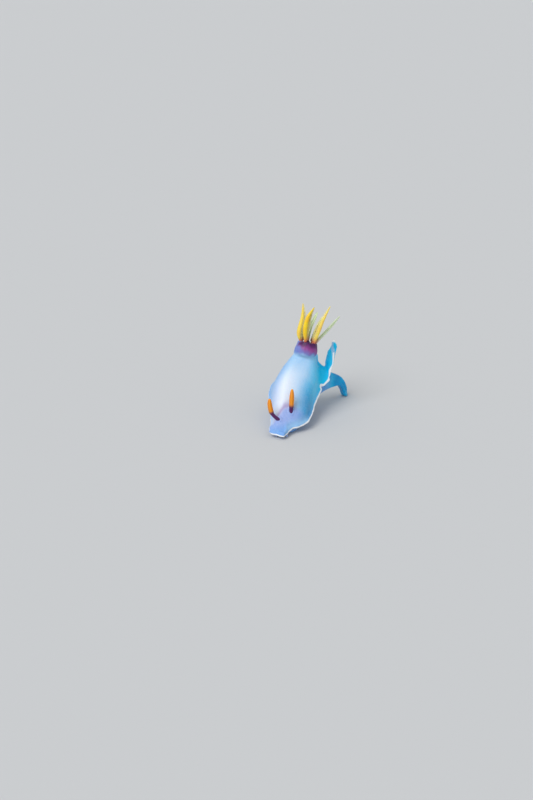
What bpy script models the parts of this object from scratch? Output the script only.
"""Still, life-size model of the sea slug Hypselodoris bullockii.

The slug crawls over a hump: its head is low in front, the gill tuft stands on the summit of the
back, one rear corner of the mantle is raised like a leaf, and the tail steps down behind to the floor.
X runs to the animal's left, Y from head to tail, Z up. Guide points and sizes are in millimetres.
"""
import math

import bmesh
import bpy
import numpy as np

MM = 0.001
NAME = "hypselodoris_bullockii"

# Bottom centre of the model's box in the frame of the guide points, which becomes the origin
BOX_BOTTOM = (7.93, 13.67, -0.5)

# Gap that touching pieces keep
GAP = 0.3

# Mantle from head to tail: crest of the back, left margin, right margin, left and right skirt width
MANTLE_SECTIONS = (
    ((1.35, 2.7, 3.0), (1.7, 0.4, 0.5), (-1.0, 0.0, 0.45), 1.3, 1.3),
    ((1.3, 3.2, 3.4), (3.1, 2.4, 1.0), (-2.8, 0.8, 0.8), 1.3, 1.3),
    ((1.25, 4.0, 4.1), (5.2, 3.3, 1.2), (-2.6, 2.6, 1.4), 1.3, 1.1),
    ((1.4, 5.0, 5.1), (7.1, 4.6, 1.6), (-2.3, 4.7, 2.0), 1.2, 0.9),
    ((1.8, 6.5, 6.8), (8.4, 7.1, 2.5), (-2.4, 6.9, 2.7), 1.1, 0.8),
    ((2.3, 8.4, 9.2), (9.0, 9.4, 3.5), (-2.6, 9.3, 3.7), 1.1, 0.8),
    ((3.0, 10.4, 11.7), (9.9, 12.3, 4.8), (-2.8, 11.9, 4.9), 1.2, 0.8),
    ((3.9, 12.5, 14.0), (11.1, 14.8, 6.0), (-2.9, 14.4, 6.3), 1.4, 0.9),
    ((5.2, 14.3, 15.9), (12.0, 16.2, 7.1), (-1.5, 17.2, 7.7), 1.9, 1.0),
    ((6.3, 15.7, 17.0), (13.0, 17.6, 8.2), (1.0, 19.8, 9.0), 2.8, 1.1),
    ((7.0, 16.9, 17.4), (13.2, 19.5, 9.6), (4.4, 21.4, 9.9), 3.2, 1.2),
    ((7.6, 17.9, 17.0), (12.2, 21.2, 10.3), (7.5, 22.1, 10.4), 2.9, 1.4),
)
MANTLE_FRONT = ((1.35, 2.5, 2.8), (0.9, -1.0, 0.35))
MANTLE_REAR = ((8.0, 18.6, 16.3), (9.9, 22.1, 10.5))
FRONT_SKIRT_WIDTH = 1.3
REAR_SKIRT_WIDTH = 2.0
SKIRT_RISE = 0.5
MARGIN_THICKNESS = 0.55
DOME_FULLNESS = (2.2, 2.3, 2.3, 2.4, 2.5, 3.1, 3.6)
MANTLE_DEPTH = (0.9, 1.2, 2.8, 4.8, 5.2, 4.2, 2.8, 2.4)
MANTLE_STATIONS = 24
MANTLE_CUTS = (((1.8, 6.7, 7.0), (0.2, 0.72, 0.66)), ((4.6, 13.6, 15.2), (0.15, 0.68, 0.72)))

# Raised rear corner of the mantle: its front and rear edges from the skirt to the tip
FLAP_FRONT_EDGE = (
    (12.6, 17.3, 8.3),
    (13.6, 18.3, 9.7),
    (14.1, 19.2, 11.2),
    (14.8, 20.6, 13.6),
    (15.2, 21.3, 16.4),
)
FLAP_REAR_EDGE = (
    (11.7, 20.9, 10.2),
    (12.1, 21.4, 11.2),
    (12.4, 21.8, 13.2),
    (12.9, 22.0, 14.8),
    (13.9, 22.1, 16.4),
)
FLAP_TIP = (14.6, 21.8, 17.9)
FLAP_THICKNESS = 0.65
FLAP_BOW = 0.35

# Foot and tail: sole line, top line, half-width of the foot margin, half-width of the flank
BODY_SECTIONS = (
    ((0.9, 3.3, -0.65), (0.9, 3.5, 1.6), 1.9, 1.6),
    ((1.0, 4.6, -0.65), (0.9, 4.7, 3.2), 2.9, 2.6),
    ((1.7, 7.2, -0.65), (1.5, 7.3, 4.8), 3.5, 3.6),
    ((3.0, 10.2, -0.4), (2.6, 9.8, 6.8), 3.7, 4.3),
    ((4.8, 13.6, 1.1), (4.2, 13.0, 9.0), 3.6, 4.6),
    ((7.1, 16.9, 3.2), (6.4, 16.4, 12.3), 3.2, 4.3),
    ((9.6, 19.5, 4.2), (9.0, 19.4, 11.3), 2.6, 3.2),
    ((12.2, 21.5, 4.4), (12.4, 21.7, 9.0), 2.0, 1.9),
    ((14.2, 23.0, 4.3), (14.9, 23.7, 7.5), 1.6, 1.2),
    ((15.7, 24.1, 4.0), (16.8, 24.7, 6.0), 1.35, 0.9),
    ((16.7, 24.9, 2.6), (17.9, 25.3, 4.3), 1.15, 0.75),
    ((17.3, 25.6, 0.6), (18.5, 25.9, 2.3), 1.0, 0.65),
    ((18.0, 26.7, -0.65), (18.5, 27.0, 0.9), 0.9, 0.5),
    ((18.6, 28.2, -0.65), (18.7, 28.3, 0.2), 0.45, 0.25),
)
FOOT_MARGIN_THICKNESS = 0.6
BODY_STATIONS = 28
BODY_CUTS = (
    ((1.9, 7.0, 0.0), (0.25, 0.95, 0.15)),
    ((6.3, 15.6, 2.4), (0.5, 0.75, 0.42)),
    ((12.0, 21.2, 5.0), (0.75, 0.65, -0.1)),
)

# Head under the front of the mantle, with its two oral tentacles
HEAD_CENTRE = (0.5, 2.1, 0.4)
HEAD_FORWARD = (-0.05, -1.0, 0.0)
HEAD_RADII = (1.5, 1.6, 0.75)

# Mouth at the head's front: lip and slit half-widths across and up, and how far the slit goes in
LIPS = (0.62, 0.4)
MOUTH = (0.3, 0.1)
MOUTH_DEPTH = 0.3
TENTACLE_LENGTH = 1.6
TENTACLE_RADIUS = 0.32
TENTACLE_SPREAD = 0.35
TENTACLE_DROP = 0.12
TENTACLE_ROOT = (0.3, 0.85, -0.15)

# Rhinophores: centre line from inside the mantle to the tip, left and right
RHINOPHORES = {
    "left": ((2.8, 4.95, 3.6), (2.9, 5.0, 5.6), (3.0, 5.2, 8.2), (3.1, 5.6, 10.8)),
    "right": ((-0.2, 3.3, 3.1), (-1.9, 3.4, 4.8), (-2.5, 3.6, 6.7), (-2.7, 3.9, 8.9)),
}
RHINOPHORE_STALK = 0.42
RHINOPHORE_CLUB = 0.64
RHINOPHORE_TIP = 0.2
CLUB_START = 0.42
RHINOPHORE_LEAVES = 9
LEAF_DEPTH = 0.16

# Gill collar: bottom and top of its axis, and its radius from bottom to top
COLLAR_AXIS = ((6.6, 15.8, 15.6), (7.3, 17.15, 19.0))
COLLAR_RADII = (2.7, 2.95, 3.0, 2.75, 2.6)

# Anal papilla in the middle of the collar's top: radius and height over it
PAPILLA = ((0.85, 0.0), (0.6, 0.25), (0.45, 0.75), (0.4, 1.1), (0.24, 1.25))

# Gill branches from root to tip: to the right in the picture, away from it, and along the collar's axis
GILLS = (
    (((-1.9, -0.4, 0.0), (-2.5, -0.7, 1.95), (-2.5, -1.0, 5.9), (-3.25, -1.2, 9.4)), 0.76),
    (((-0.8, -1.75, 0.0), (-1.4, -2.4, 2.9), (-1.35, -2.8, 6.0), (-0.3, -3.0, 8.8)), 0.72),
    (((1.4, -1.3, 0.0), (1.8, -1.9, 2.75), (2.4, -2.3, 5.8), (3.7, -2.5, 9.9)), 0.74),
    (((1.95, 0.3, 0.0), (4.2, 0.7, 3.3), (5.75, 0.9, 5.7), (7.1, 1.1, 8.0)), 0.5),
    (((1.3, 1.5, 0.0), (1.9, 2.4, 2.75), (2.5, 2.9, 5.0), (3.0, 3.2, 7.0)), 0.5),
    (((-0.1, 1.95, 0.0), (0.2, 2.6, 3.75), (0.8, 2.9, 6.0), (1.4, 3.1, 8.0)), 0.48),
    (((-1.4, 1.3, 0.0), (-1.6, 1.9, 2.9), (-1.4, 2.2, 5.0), (-0.9, 2.4, 6.7)), 0.5),
)
GILL_ROOT = 0.52
GILL_TIP = 0.13
GILL_LEAFLETS = 10
LEAFLET_NOTCH = 0.34

COLOURS = {
    "mantle": (0.86, 0.88, 0.97),
    "flap": (0.35, 0.72, 0.95),
    "foot": (0.33, 0.55, 0.92),
    "tail": (0.08, 0.38, 0.85),
    "head": (0.55, 0.6, 0.95),
    "rhinophore": (0.9, 0.4, 0.03),
    "collar": (0.5, 0.12, 0.5),
    "gill": (0.95, 0.72, 0.08),
}


def unit(vector):
    vector = np.asarray(vector, float)
    return vector / np.linalg.norm(vector)


def smooth_curve(points, count, closed=False):
    """Samples, even in parameter, of a smooth curve through the points."""
    points = np.asarray(points, float)
    if closed:
        padded = np.vstack((points[-1], points, points[:2]))
        spans = len(points)
        places = np.arange(count) * spans / count
    else:
        padded = np.vstack((2 * points[0] - points[1], points, 2 * points[-1] - points[-2]))
        spans = len(points) - 1
        places = np.linspace(0, spans, count)
    samples = []
    for place in places:
        span = min(int(place), spans - 1)
        t = place - span
        a, b, c, d = padded[span : span + 4]
        bend = (2 * b) + (c - a) * t + (2 * a - 5 * b + 4 * c - d) * t**2 + (3 * b - 3 * c + d - a) * t**3
        samples.append(bend / 2)
    return np.array(samples)


def smooth_values(values, count):
    return smooth_curve([[value] for value in values], count)[:, 0]


def clear_scene():
    for thing in list(bpy.data.objects):
        bpy.data.objects.remove(thing, do_unlink=True)


def new_collection(name):
    made = bpy.data.collections.new(name)
    bpy.context.scene.collection.children.link(made)
    return made


def add_object(name, data, group):
    made = bpy.data.objects.new(name, data)
    group.objects.link(made)
    return made


def loft(name, rings, group, levels=0):
    """A closed mesh through rings of equally many points. Rings that run together are welded, and
    open ends are capped."""
    mesh = bmesh.new()
    rows = [[mesh.verts.new((np.asarray(p) - BOX_BOTTOM) * MM) for p in ring] for ring in rings]
    around = len(rows[0])
    for lower, upper in zip(rows, rows[1:]):
        for i in range(around):
            j = (i + 1) % around
            mesh.faces.new((lower[i], lower[j], upper[j], upper[i]))
    bmesh.ops.remove_doubles(mesh, verts=mesh.verts, dist=1e-7)
    bmesh.ops.holes_fill(mesh, edges=[edge for edge in mesh.edges if edge.is_boundary])
    bmesh.ops.recalc_face_normals(mesh, faces=mesh.faces)
    data = bpy.data.meshes.new(name)
    mesh.to_mesh(data)
    mesh.free()
    data.shade_smooth()
    made = add_object(name, data, group)
    if levels:
        smooth = made.modifiers.new("smooth", "SUBSURF")
        smooth.levels = levels
        smooth.render_levels = levels
    return made


def apply_modifiers(thing):
    """Gives the object its evaluated mesh and takes its modifiers away."""
    graph = bpy.context.evaluated_depsgraph_get()
    graph.update()
    data = bpy.data.meshes.new_from_object(thing.evaluated_get(graph))
    thing.modifiers.clear()
    thing.data = data
    return thing


def swollen(name, rings, group, levels=0):
    """The same closed mesh, larger by the gap on every side, which cuts its neighbours clear of it."""
    made = loft(name, rings, group, levels)
    made.hide_render = True
    made.display_type = "WIRE"
    swell = made.modifiers.new("swell", "DISPLACE")
    swell.strength = GAP * MM
    swell.mid_level = 0.0
    return apply_modifiers(made)


def keep_largest(thing):
    """Removes every closed surface of the mesh but the one with the most volume."""
    mesh = bmesh.new()
    mesh.from_mesh(thing.data)
    unseen = set(mesh.verts)
    islands = []
    while unseen:
        stack = [unseen.pop()]
        island = set(stack)
        while stack:
            for edge in stack.pop().link_edges:
                for vert in edge.verts:
                    if vert in unseen:
                        unseen.discard(vert)
                        island.add(vert)
                        stack.append(vert)
        islands.append(island)
    if len(islands) > 1:
        largest = max(islands, key=lambda island: box_volume(island))
        extra = [vert for vert in mesh.verts if vert not in largest]
        bmesh.ops.delete(mesh, geom=extra, context="VERTS")
        mesh.to_mesh(thing.data)
    mesh.free()


def box_volume(verts):
    places = np.array([vert.co[:] for vert in verts])
    return float(np.prod(places.max(axis=0) - places.min(axis=0)))


def cut_away(thing, cutter):
    """Takes the cutter's space out of the object. Where a swollen cutter folds over itself, the exact
    solver can leave nothing."""
    cut = thing.modifiers.new("cut", "BOOLEAN")
    cut.operation = "DIFFERENCE"
    cut.object = cutter
    cut.solver = "MANIFOLD"
    apply_modifiers(thing)
    keep_largest(thing)


def trim(mesh, place, normal):
    """Cuts the mesh at a plane, drops what lies behind its normal, and closes the cut."""
    geometry = mesh.verts[:] + mesh.edges[:] + mesh.faces[:]
    bmesh.ops.bisect_plane(mesh, geom=geometry, plane_co=place, plane_no=normal, clear_inner=True, dist=1e-7)
    bmesh.ops.holes_fill(mesh, edges=[edge for edge in mesh.edges if edge.is_boundary])


def slice_between(whole, name, group, after=None, before=None):
    """A copy of the whole between two planes, each half a gap away from its cut, and above the floor."""
    mesh = bmesh.new()
    mesh.from_mesh(whole.data)
    trim(mesh, (0.0, 0.0, 0.0), (0.0, 0.0, 1.0))
    for plane, side in ((after, 1), (before, -1)):
        if plane is None:
            continue
        normal = unit(plane[1]) * side
        place = (np.asarray(plane[0]) - BOX_BOTTOM + normal * GAP / 2) * MM
        trim(mesh, place, normal)
    bmesh.ops.recalc_face_normals(mesh, faces=mesh.faces)
    data = bpy.data.meshes.new(name)
    mesh.to_mesh(data)
    mesh.free()
    made = add_object(name, data, group)
    keep_largest(made)
    return made


def rib_parts(crest, margin, normal):
    """Height of the crest over the margin, the level direction inward to it, and how far in it lies."""
    away = crest - margin
    rise = float(np.dot(away, normal))
    level = away - normal * rise
    reach = float(np.linalg.norm(level))
    return rise, level / reach, reach


def mantle_ribs(stations):
    """For each rib round the margin: crest, margin, dorsal normal, skirt width and depth under the crest."""
    rows = MANTLE_SECTIONS
    crest = smooth_curve([MANTLE_FRONT[0]] + [row[0] for row in rows] + [MANTLE_REAR[0]], stations + 1)
    loop = [MANTLE_FRONT[1]] + [row[1] for row in rows] + [MANTLE_REAR[1]] + [row[2] for row in rows[::-1]]
    margin = smooth_curve(loop, 2 * stations, closed=True)
    left_width, right_width = (
        smooth_values([FRONT_SKIRT_WIDTH] + [row[side] for row in rows] + [REAR_SKIRT_WIDTH], stations + 1)
        for side in (3, 4)
    )
    depths = smooth_values(MANTLE_DEPTH, stations + 1)
    fullness = smooth_values(DOME_FULLNESS, stations + 1)
    ribs = []
    for i in range(2 * stations):
        k = min(i, 2 * stations - i)
        inner = min(max(k, 1), stations - 1)
        along = crest[min(k + 1, stations)] - crest[max(k - 1, 0)]
        normal = unit(np.cross(margin[inner] - margin[-inner], along))
        width = left_width[k] if i <= stations else right_width[k]
        reach = rib_parts(crest[k], margin[i], normal)[2]
        ribs.append((crest[k], margin[i], normal, min(width, 0.45 * reach), depths[k], fullness[k]))
    return ribs


def mantle_rings(stations):
    """Rings of the mantle from the crest over dome and skirt to the margin, and back underneath."""
    ribs = mantle_ribs(stations)
    half = MARGIN_THICKNESS / 2
    rings = []
    for turn in (1.0, 0.84, 0.68, 0.5, 0.32, 0.14):
        lean = turn * math.pi / 2
        rings.append([dome_point(rib, lean) for rib in ribs])
    for step in (0.7, 0.25):
        rings.append([skirt_point(rib, step, half + SKIRT_RISE * step) for rib in ribs])
    rings.append([skirt_point(rib, -0.1, 0.0) for rib in ribs])
    for step in (0.1, 0.6):
        rings.append([skirt_point(rib, step, -half) for rib in ribs])
    for share in (0.0, 0.45, 1.0):
        rings.append([under_point(rib, share, half) for rib in ribs])
    return rings


def dome_point(rib, lean):
    crest, margin, normal, width, _, fullness = rib
    rise, inward, reach = rib_parts(crest, margin, normal)
    power = 2 / fullness
    across = width + (reach - width) * (1 - math.cos(lean) ** power)
    up = SKIRT_RISE + (rise - SKIRT_RISE) * math.sin(lean) ** power
    return margin + inward * across + normal * up


def skirt_point(rib, step, lift):
    crest, margin, normal, width = rib[:4]
    inward = rib_parts(crest, margin, normal)[1]
    return margin + inward * width * step + normal * lift


def under_point(rib, share, half):
    """A point of the underside, from the skirt's inner edge at share 0 to the keel under the crest at 1."""
    crest, _, normal, _, depth, _ = rib
    edge = skirt_point(rib, 1.0, -half)
    keel = crest - normal * depth
    return edge + (keel - edge) * share


def body_rings(stations):
    """Cross-sections of foot, flank and tail from the front to the tail's tip."""
    sole = smooth_curve([row[0] for row in BODY_SECTIONS], stations)
    top = smooth_curve([row[1] for row in BODY_SECTIONS], stations)
    foot = smooth_values([row[2] for row in BODY_SECTIONS], stations)
    flank = smooth_values([row[3] for row in BODY_SECTIONS], stations)
    rings = []
    for k in range(stations):
        along = sole[min(k + 1, stations - 1)] - sole[max(k - 1, 0)]
        up = top[k] - sole[k]
        height = float(np.linalg.norm(up))
        up = up / height
        left = unit(np.cross(up, along) * (1, 1, 0))
        edge = min(FOOT_MARGIN_THICKNESS, 0.45 * height)
        rest = height - edge
        half_outline = (
            (0.7 * foot[k], 0.0),
            (0.97 * foot[k], 0.05 * edge),
            (foot[k], 0.85 * edge),
            (0.4 * (foot[k] + flank[k]), edge + 0.18 * rest),
            (0.96 * flank[k], edge + 0.42 * rest),
            (0.92 * flank[k], edge + 0.75 * rest),
            (0.55 * flank[k], edge + 0.97 * rest),
        )
        outline = [(0.0, 0.0), *half_outline, (0.0, height)] + [(-a, b) for a, b in half_outline[::-1]]
        rings.append([sole[k] + left * a + up * b for a, b in outline])
    return rings


def ellipsoid_rings(centre, axes, radii, around=16, along=9):
    """Rings of an ellipsoid from its rear pole to its front pole, along the first axis."""
    rings = []
    for step in range(along + 1):
        lean = math.pi * step / along
        ring = []
        for i in range(around):
            turn = 2 * math.pi * i / around
            parts = (
                -math.cos(lean) * radii[0],
                math.sin(lean) * math.cos(turn) * radii[1],
                math.sin(lean) * math.sin(turn) * radii[2],
            )
            ring.append(np.asarray(centre) + sum(axis * part for axis, part in zip(axes, parts)))
        rings.append(ring)
    return rings


def tube_rings(path, across, deep, facing, around=12):
    """Rings of a tube whose half-width is across and half-depth deep, deep towards facing."""
    rings = []
    for k in range(len(path)):
        sideways, inward = path_axes(path, k, facing)
        ring = []
        for i in range(around):
            turn = 2 * math.pi * i / around
            ring.append(path[k] + sideways * across[k] * math.cos(turn) + inward * deep[k] * math.sin(turn))
        rings.append(ring)
    return rings


def path_axes(path, k, facing):
    """The sideways axis of a path at its kth point, and the one towards facing."""
    along = unit(path[min(k + 1, len(path) - 1)] - path[max(k - 1, 0)])
    inward = unit(facing - along * np.dot(facing, along))
    return np.cross(along, inward), inward


def head_rings():
    """The head as a flat ellipsoid whose front ends in lips round the slit of the mouth."""
    forward, left, up = head_axes()
    rings = ellipsoid_rings(HEAD_CENTRE, head_axes(), HEAD_RADII)[:-2]
    front = np.array(HEAD_CENTRE) + forward * HEAD_RADII[0]
    turns = [2 * math.pi * i / len(rings[0]) for i in range(len(rings[0]))]
    for (across, high), back in ((LIPS, 0.0), (MOUTH, 0.05), (MOUTH, MOUTH_DEPTH)):
        middle = front - forward * back
        rings.append([middle + left * across * math.cos(t) + up * high * math.sin(t) for t in turns])
    return rings


def head_axes():
    forward = unit(HEAD_FORWARD)
    up = np.array((0.0, 0.0, 1.0))
    return forward, np.cross(up, forward), up


def collar_axes():
    """Centre of the collar's top, and the axes to the right, away and along it."""
    bottom, top = (np.array(place) for place in COLLAR_AXIS)
    along = unit(top - bottom)
    right = unit(np.cross((0.0, 1.0, 0.0), along))
    return top, right, np.cross(along, right), along


def collar_rings(around=24):
    """Rings of the collar from its root in the mantle, and over its flat top to the papilla's tip."""
    bottom, top = (np.array(place) for place in COLLAR_AXIS)
    centre, right, away, along = collar_axes()
    steps = len(COLLAR_RADII) - 1
    profile = [(radius, bottom + (top - bottom) * k / steps) for k, radius in enumerate(COLLAR_RADII)]
    profile += [(radius, top + along * height) for radius, height in PAPILLA]
    turns = [2 * math.pi * i / around for i in range(around)]
    spokes = [right * math.cos(t) + away * math.sin(t) for t in turns]
    return [[middle + spoke * radius for spoke in spokes] for radius, middle in profile]


def gill_path(points, count):
    top, right, away, along = collar_axes()
    root = top + along * GAP
    return smooth_curve([root + right * p + away * q + along * h for p, q, h in points], count)


def gill_branch(name, points, widest, group):
    """A tapering branch, rounded outside. Two rows of leaflets stand along its inner face, which looks at
    the middle of the tuft: every other ring is notched between them."""
    top, right, away, along = collar_axes()
    path = gill_path(points, 2 * GILL_LEAFLETS + 3)
    half = smooth_values((min(GILL_ROOT, widest), widest, widest * 0.8, GILL_TIP), len(path))
    facing = -(right * points[1][0] + away * points[1][1])
    rings = []
    for k in range(len(path)):
        sideways, inward = path_axes(path, k, facing)
        reach = 1.0 if k % 2 or k in (0, len(path) - 1) else 1 - LEAFLET_NOTCH
        near_side = ((0.5, -0.62), (0.74, -0.1), (reach, 0.6 * reach), (0.42, 0.42 * reach))
        outline = [(0.0, -0.8), *near_side, (0.0, 0.25)] + [(-a, b) for a, b in near_side[::-1]]
        rings.append([path[k] + (sideways * a + inward * b) * half[k] for a, b in outline])
    rings[0] = [point + along * np.dot(path[0] - point, along) for point in rings[0]]
    return loft(name, rings, group)


def club_radius(share):
    """Radius of a rhinophore at a share of its length, without its leaves."""
    if share < 0.3:
        return RHINOPHORE_STALK
    rise = min((share - 0.3) / 0.2, 1.0)
    fall = max((share - 0.6) / 0.4, 0.0)
    radius = RHINOPHORE_STALK + (RHINOPHORE_CLUB - RHINOPHORE_STALK) * math.sin(rise * math.pi / 2)
    return radius + (RHINOPHORE_TIP - radius) * fall**3


def rhinophore(name, points, group):
    """A stalk that widens to a club ringed by leaves, with a ring of points at each edge and notch."""
    shares = [0.0, 0.15, 0.3]
    shares += list(np.linspace(CLUB_START, 0.95, 2 * RHINOPHORE_LEAVES + 1))
    shares.append(1.0)
    fine = smooth_curve(points, 201)
    path = np.array([fine[round(share * 200)] for share in shares])
    radii = np.array([club_radius(share) for share in shares])
    radii[4:-1:2] *= 1 + LEAF_DEPTH / 2
    radii[3:-1:2] *= 1 - LEAF_DEPTH / 2
    return loft(name, tube_rings(path, radii, radii, np.array((0.0, -1.0, 0.0)), around=14), group)


def oral_tentacle(name, side, group):
    """A short cone from the side of the head, forward and outward."""
    forward, left, up = head_axes()
    ahead, aside, above = TENTACLE_ROOT
    start = np.array(HEAD_CENTRE) + forward * ahead + left * side * aside + up * above
    way = unit(forward + left * side * TENTACLE_SPREAD - up * TENTACLE_DROP)
    path = np.array([start + way * TENTACLE_LENGTH * share for share in np.linspace(0, 1, 7)])
    radii = TENTACLE_RADIUS * np.array((1.0, 1.0, 0.97, 0.9, 0.8, 0.65, 0.35))
    return loft(name, tube_rings(path, radii, radii, up, around=10), group)


def flap_rings(count=14):
    """The raised corner as a thin leaf, bowed toward the gills."""
    front = smooth_curve([*FLAP_FRONT_EDGE, FLAP_TIP], count)
    rear = smooth_curve([*FLAP_REAR_EDGE, FLAP_TIP], count)
    rings = []
    for k in range(count):
        middle = (front[k] + rear[k]) / 2
        half = max(np.linalg.norm(front[k] - rear[k]) / 2, 0.3)
        across = unit(front[min(k, count - 2)] - rear[min(k, count - 2)])
        along = unit(front[min(k + 1, count - 1)] - front[max(k - 1, 0)])
        outward = unit(np.cross(across, along))
        thick = FLAP_THICKNESS / 2 * (1.0 if k < count - 2 else 0.85)
        ring = []
        for i in range(16):
            turn = 2 * math.pi * i / 16
            x = math.cos(turn)
            bow = FLAP_BOW * min(half, 1.0) * x * x
            ring.append(middle + across * half * x + outward * (thick * math.sin(turn) - bow))
        rings.append(ring)
    return rings


def finish(thing, colour, roughness=0.35):
    material = bpy.data.materials.new(thing.name)
    material.use_nodes = True
    shader = material.node_tree.nodes["Principled BSDF"]
    shader.inputs["Base Color"].default_value = (*COLOURS[colour], 1.0)
    shader.inputs["Roughness"].default_value = roughness
    shader.inputs["Metallic"].default_value = 0.0
    thing.data.materials.clear()
    thing.data.materials.append(material)


def make_mantle(group, cutters):
    whole = apply_modifiers(loft("whole_mantle", mantle_rings(MANTLE_STATIONS), cutters, levels=1))
    cuts = (None, *MANTLE_CUTS, None)
    for name, after, before in zip(("mantle_front", "mantle_middle", "mantle_rear"), cuts, cuts[1:]):
        finish(slice_between(whole, name, group, after, before), "mantle")
    bpy.data.objects.remove(whole)


def make_body(group, cutters, around_mantle):
    whole = apply_modifiers(loft("whole_body", body_rings(BODY_STATIONS), cutters, levels=1))
    cut_away(whole, around_mantle)
    cuts = (None, *BODY_CUTS, None)
    for name, after, before in zip(("foot_front", "foot_middle", "foot_rear", "tail"), cuts, cuts[1:]):
        finish(slice_between(whole, name, group, after, before), "tail" if name == "tail" else "foot")
    bpy.data.objects.remove(whole)


def build():
    clear_scene()
    group = new_collection(NAME)
    cutters = new_collection("cutters")
    around_mantle = swollen("around_mantle", mantle_rings(MANTLE_STATIONS), cutters, levels=1)
    around_body = swollen("around_body", body_rings(BODY_STATIONS), cutters, levels=1)
    around_head = swollen("around_head", head_rings(), cutters)
    make_mantle(group, cutters)
    make_body(group, cutters, around_mantle)

    head = loft("head", head_rings(), group)
    cut_away(head, around_mantle)
    cut_away(head, around_body)
    finish(head, "head")
    for side, name in ((1, "oral_tentacle_left"), (-1, "oral_tentacle_right")):
        tentacle = oral_tentacle(name, side, group)
        for cutter in (around_head, around_mantle, around_body):
            cut_away(tentacle, cutter)
        finish(tentacle, "head")

    flap = loft("mantle_flap", flap_rings(), group)
    cut_away(flap, around_mantle)
    cut_away(flap, around_body)
    finish(flap, "flap")
    collar = loft("gill_collar", collar_rings(), group)
    cut_away(collar, around_mantle)
    finish(collar, "collar")
    for number, (points, widest) in enumerate(GILLS, 1):
        finish(gill_branch(f"gill_{number}", points, widest, group), "gill")
    for side, points in RHINOPHORES.items():
        stalk = rhinophore(f"rhinophore_{side}", points, group)
        cut_away(stalk, around_mantle)
        finish(stalk, "rhinophore")
    for cutter in list(cutters.objects):
        bpy.data.objects.remove(cutter)
    for thing in group.objects:
        thing.data.shade_smooth()


build()
